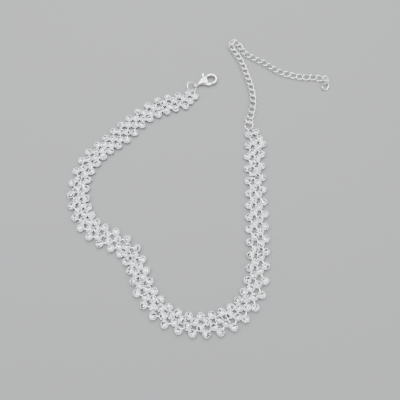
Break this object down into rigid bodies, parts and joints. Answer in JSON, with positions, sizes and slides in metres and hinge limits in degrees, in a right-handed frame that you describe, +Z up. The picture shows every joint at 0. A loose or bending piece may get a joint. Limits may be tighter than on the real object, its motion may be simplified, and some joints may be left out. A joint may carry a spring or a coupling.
{
  "type": "choker necklace",
  "caption": "Rhinestone mesh choker lying open, with a lobster clasp at one end and a curb extender chain on jump rings at the other.",
  "frame": {"origin": "middle of the footprint, on the surface that the choker lies on", "axes": "+Z up from the surface; +Y from the bottom of the loop towards the clasp and chain; +X towards the extender chain's side"},
  "size_m": [0.1377, 0.1657, 0.0045],
  "materials": {
    "stones_in_silver_cups": "clear faceted stones in polished silver-tone cups",
    "silver_plate": "polished silver-tone plating"
  },
  "bodies": {
    "necklace": {"stone_band_clasp_half": "stones_in_silver_cups", "stone_band_extender_half": "stones_in_silver_cups", "clasp_ring": "silver_plate", "clasp_body": "silver_plate", "extender_ring_1": "silver_plate", "extender_ring_2": "silver_plate", "extender_chain": "silver_plate"},
    "clasp_lever": {"clasp_lever": "silver_plate"}
  },
  "joints": [
    {"name": "lever_hinge", "type": "hinge", "parent": "necklace", "child": "clasp_lever", "pos_m": [-0.00021, 0.05412, 0.00137], "axis": [0, 0, 1], "range_deg": [0, 35], "stiffness_Nm_per_rad": 0.0005, "springref_deg": -17.19}
  ]
}
